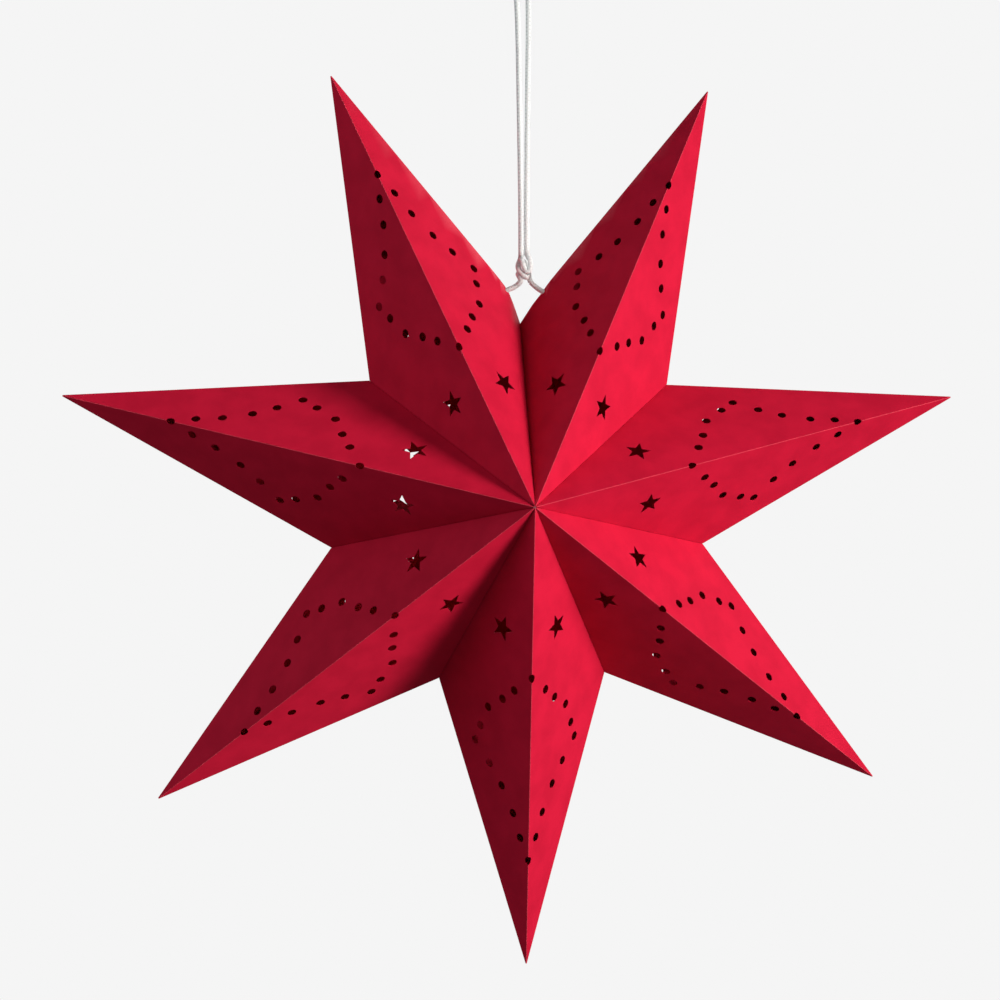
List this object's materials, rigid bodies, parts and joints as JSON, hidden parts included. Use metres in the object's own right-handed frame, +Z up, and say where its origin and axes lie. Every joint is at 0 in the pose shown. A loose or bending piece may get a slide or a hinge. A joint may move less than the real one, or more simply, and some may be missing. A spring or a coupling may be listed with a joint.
{
  "type": "paper star lantern",
  "caption": "Folding paper star lantern with long kite-faced points, punched dot and star patterns, a lamp opening in the back and a white cord to hang it by.",
  "frame": {"origin": "inside of the hanging loop at its top, where the loop bears on its hook", "axes": "+Z up, -Y out of the front of the star, +X to the right seen from the front"},
  "size_m": [0.5832, 0.1892, 0.6825],
  "materials": {
    "red_card": "matte card, dyed through, with a faint sheen",
    "white_cord": "twisted cotton cord"
  },
  "bodies": {
    "root": {"point_1": "red_card", "point_2": "red_card", "point_3": "red_card", "point_4": "red_card", "point_5": "red_card", "point_6": "red_card", "point_7": "red_card", "hanging_cord": "white_cord", "tie_knot": "white_cord", "cord_leg_left": "white_cord", "cord_leg_right": "white_cord", "stopper_knot_left": "white_cord", "stopper_knot_right": "white_cord"}
  },
  "joints": []
}
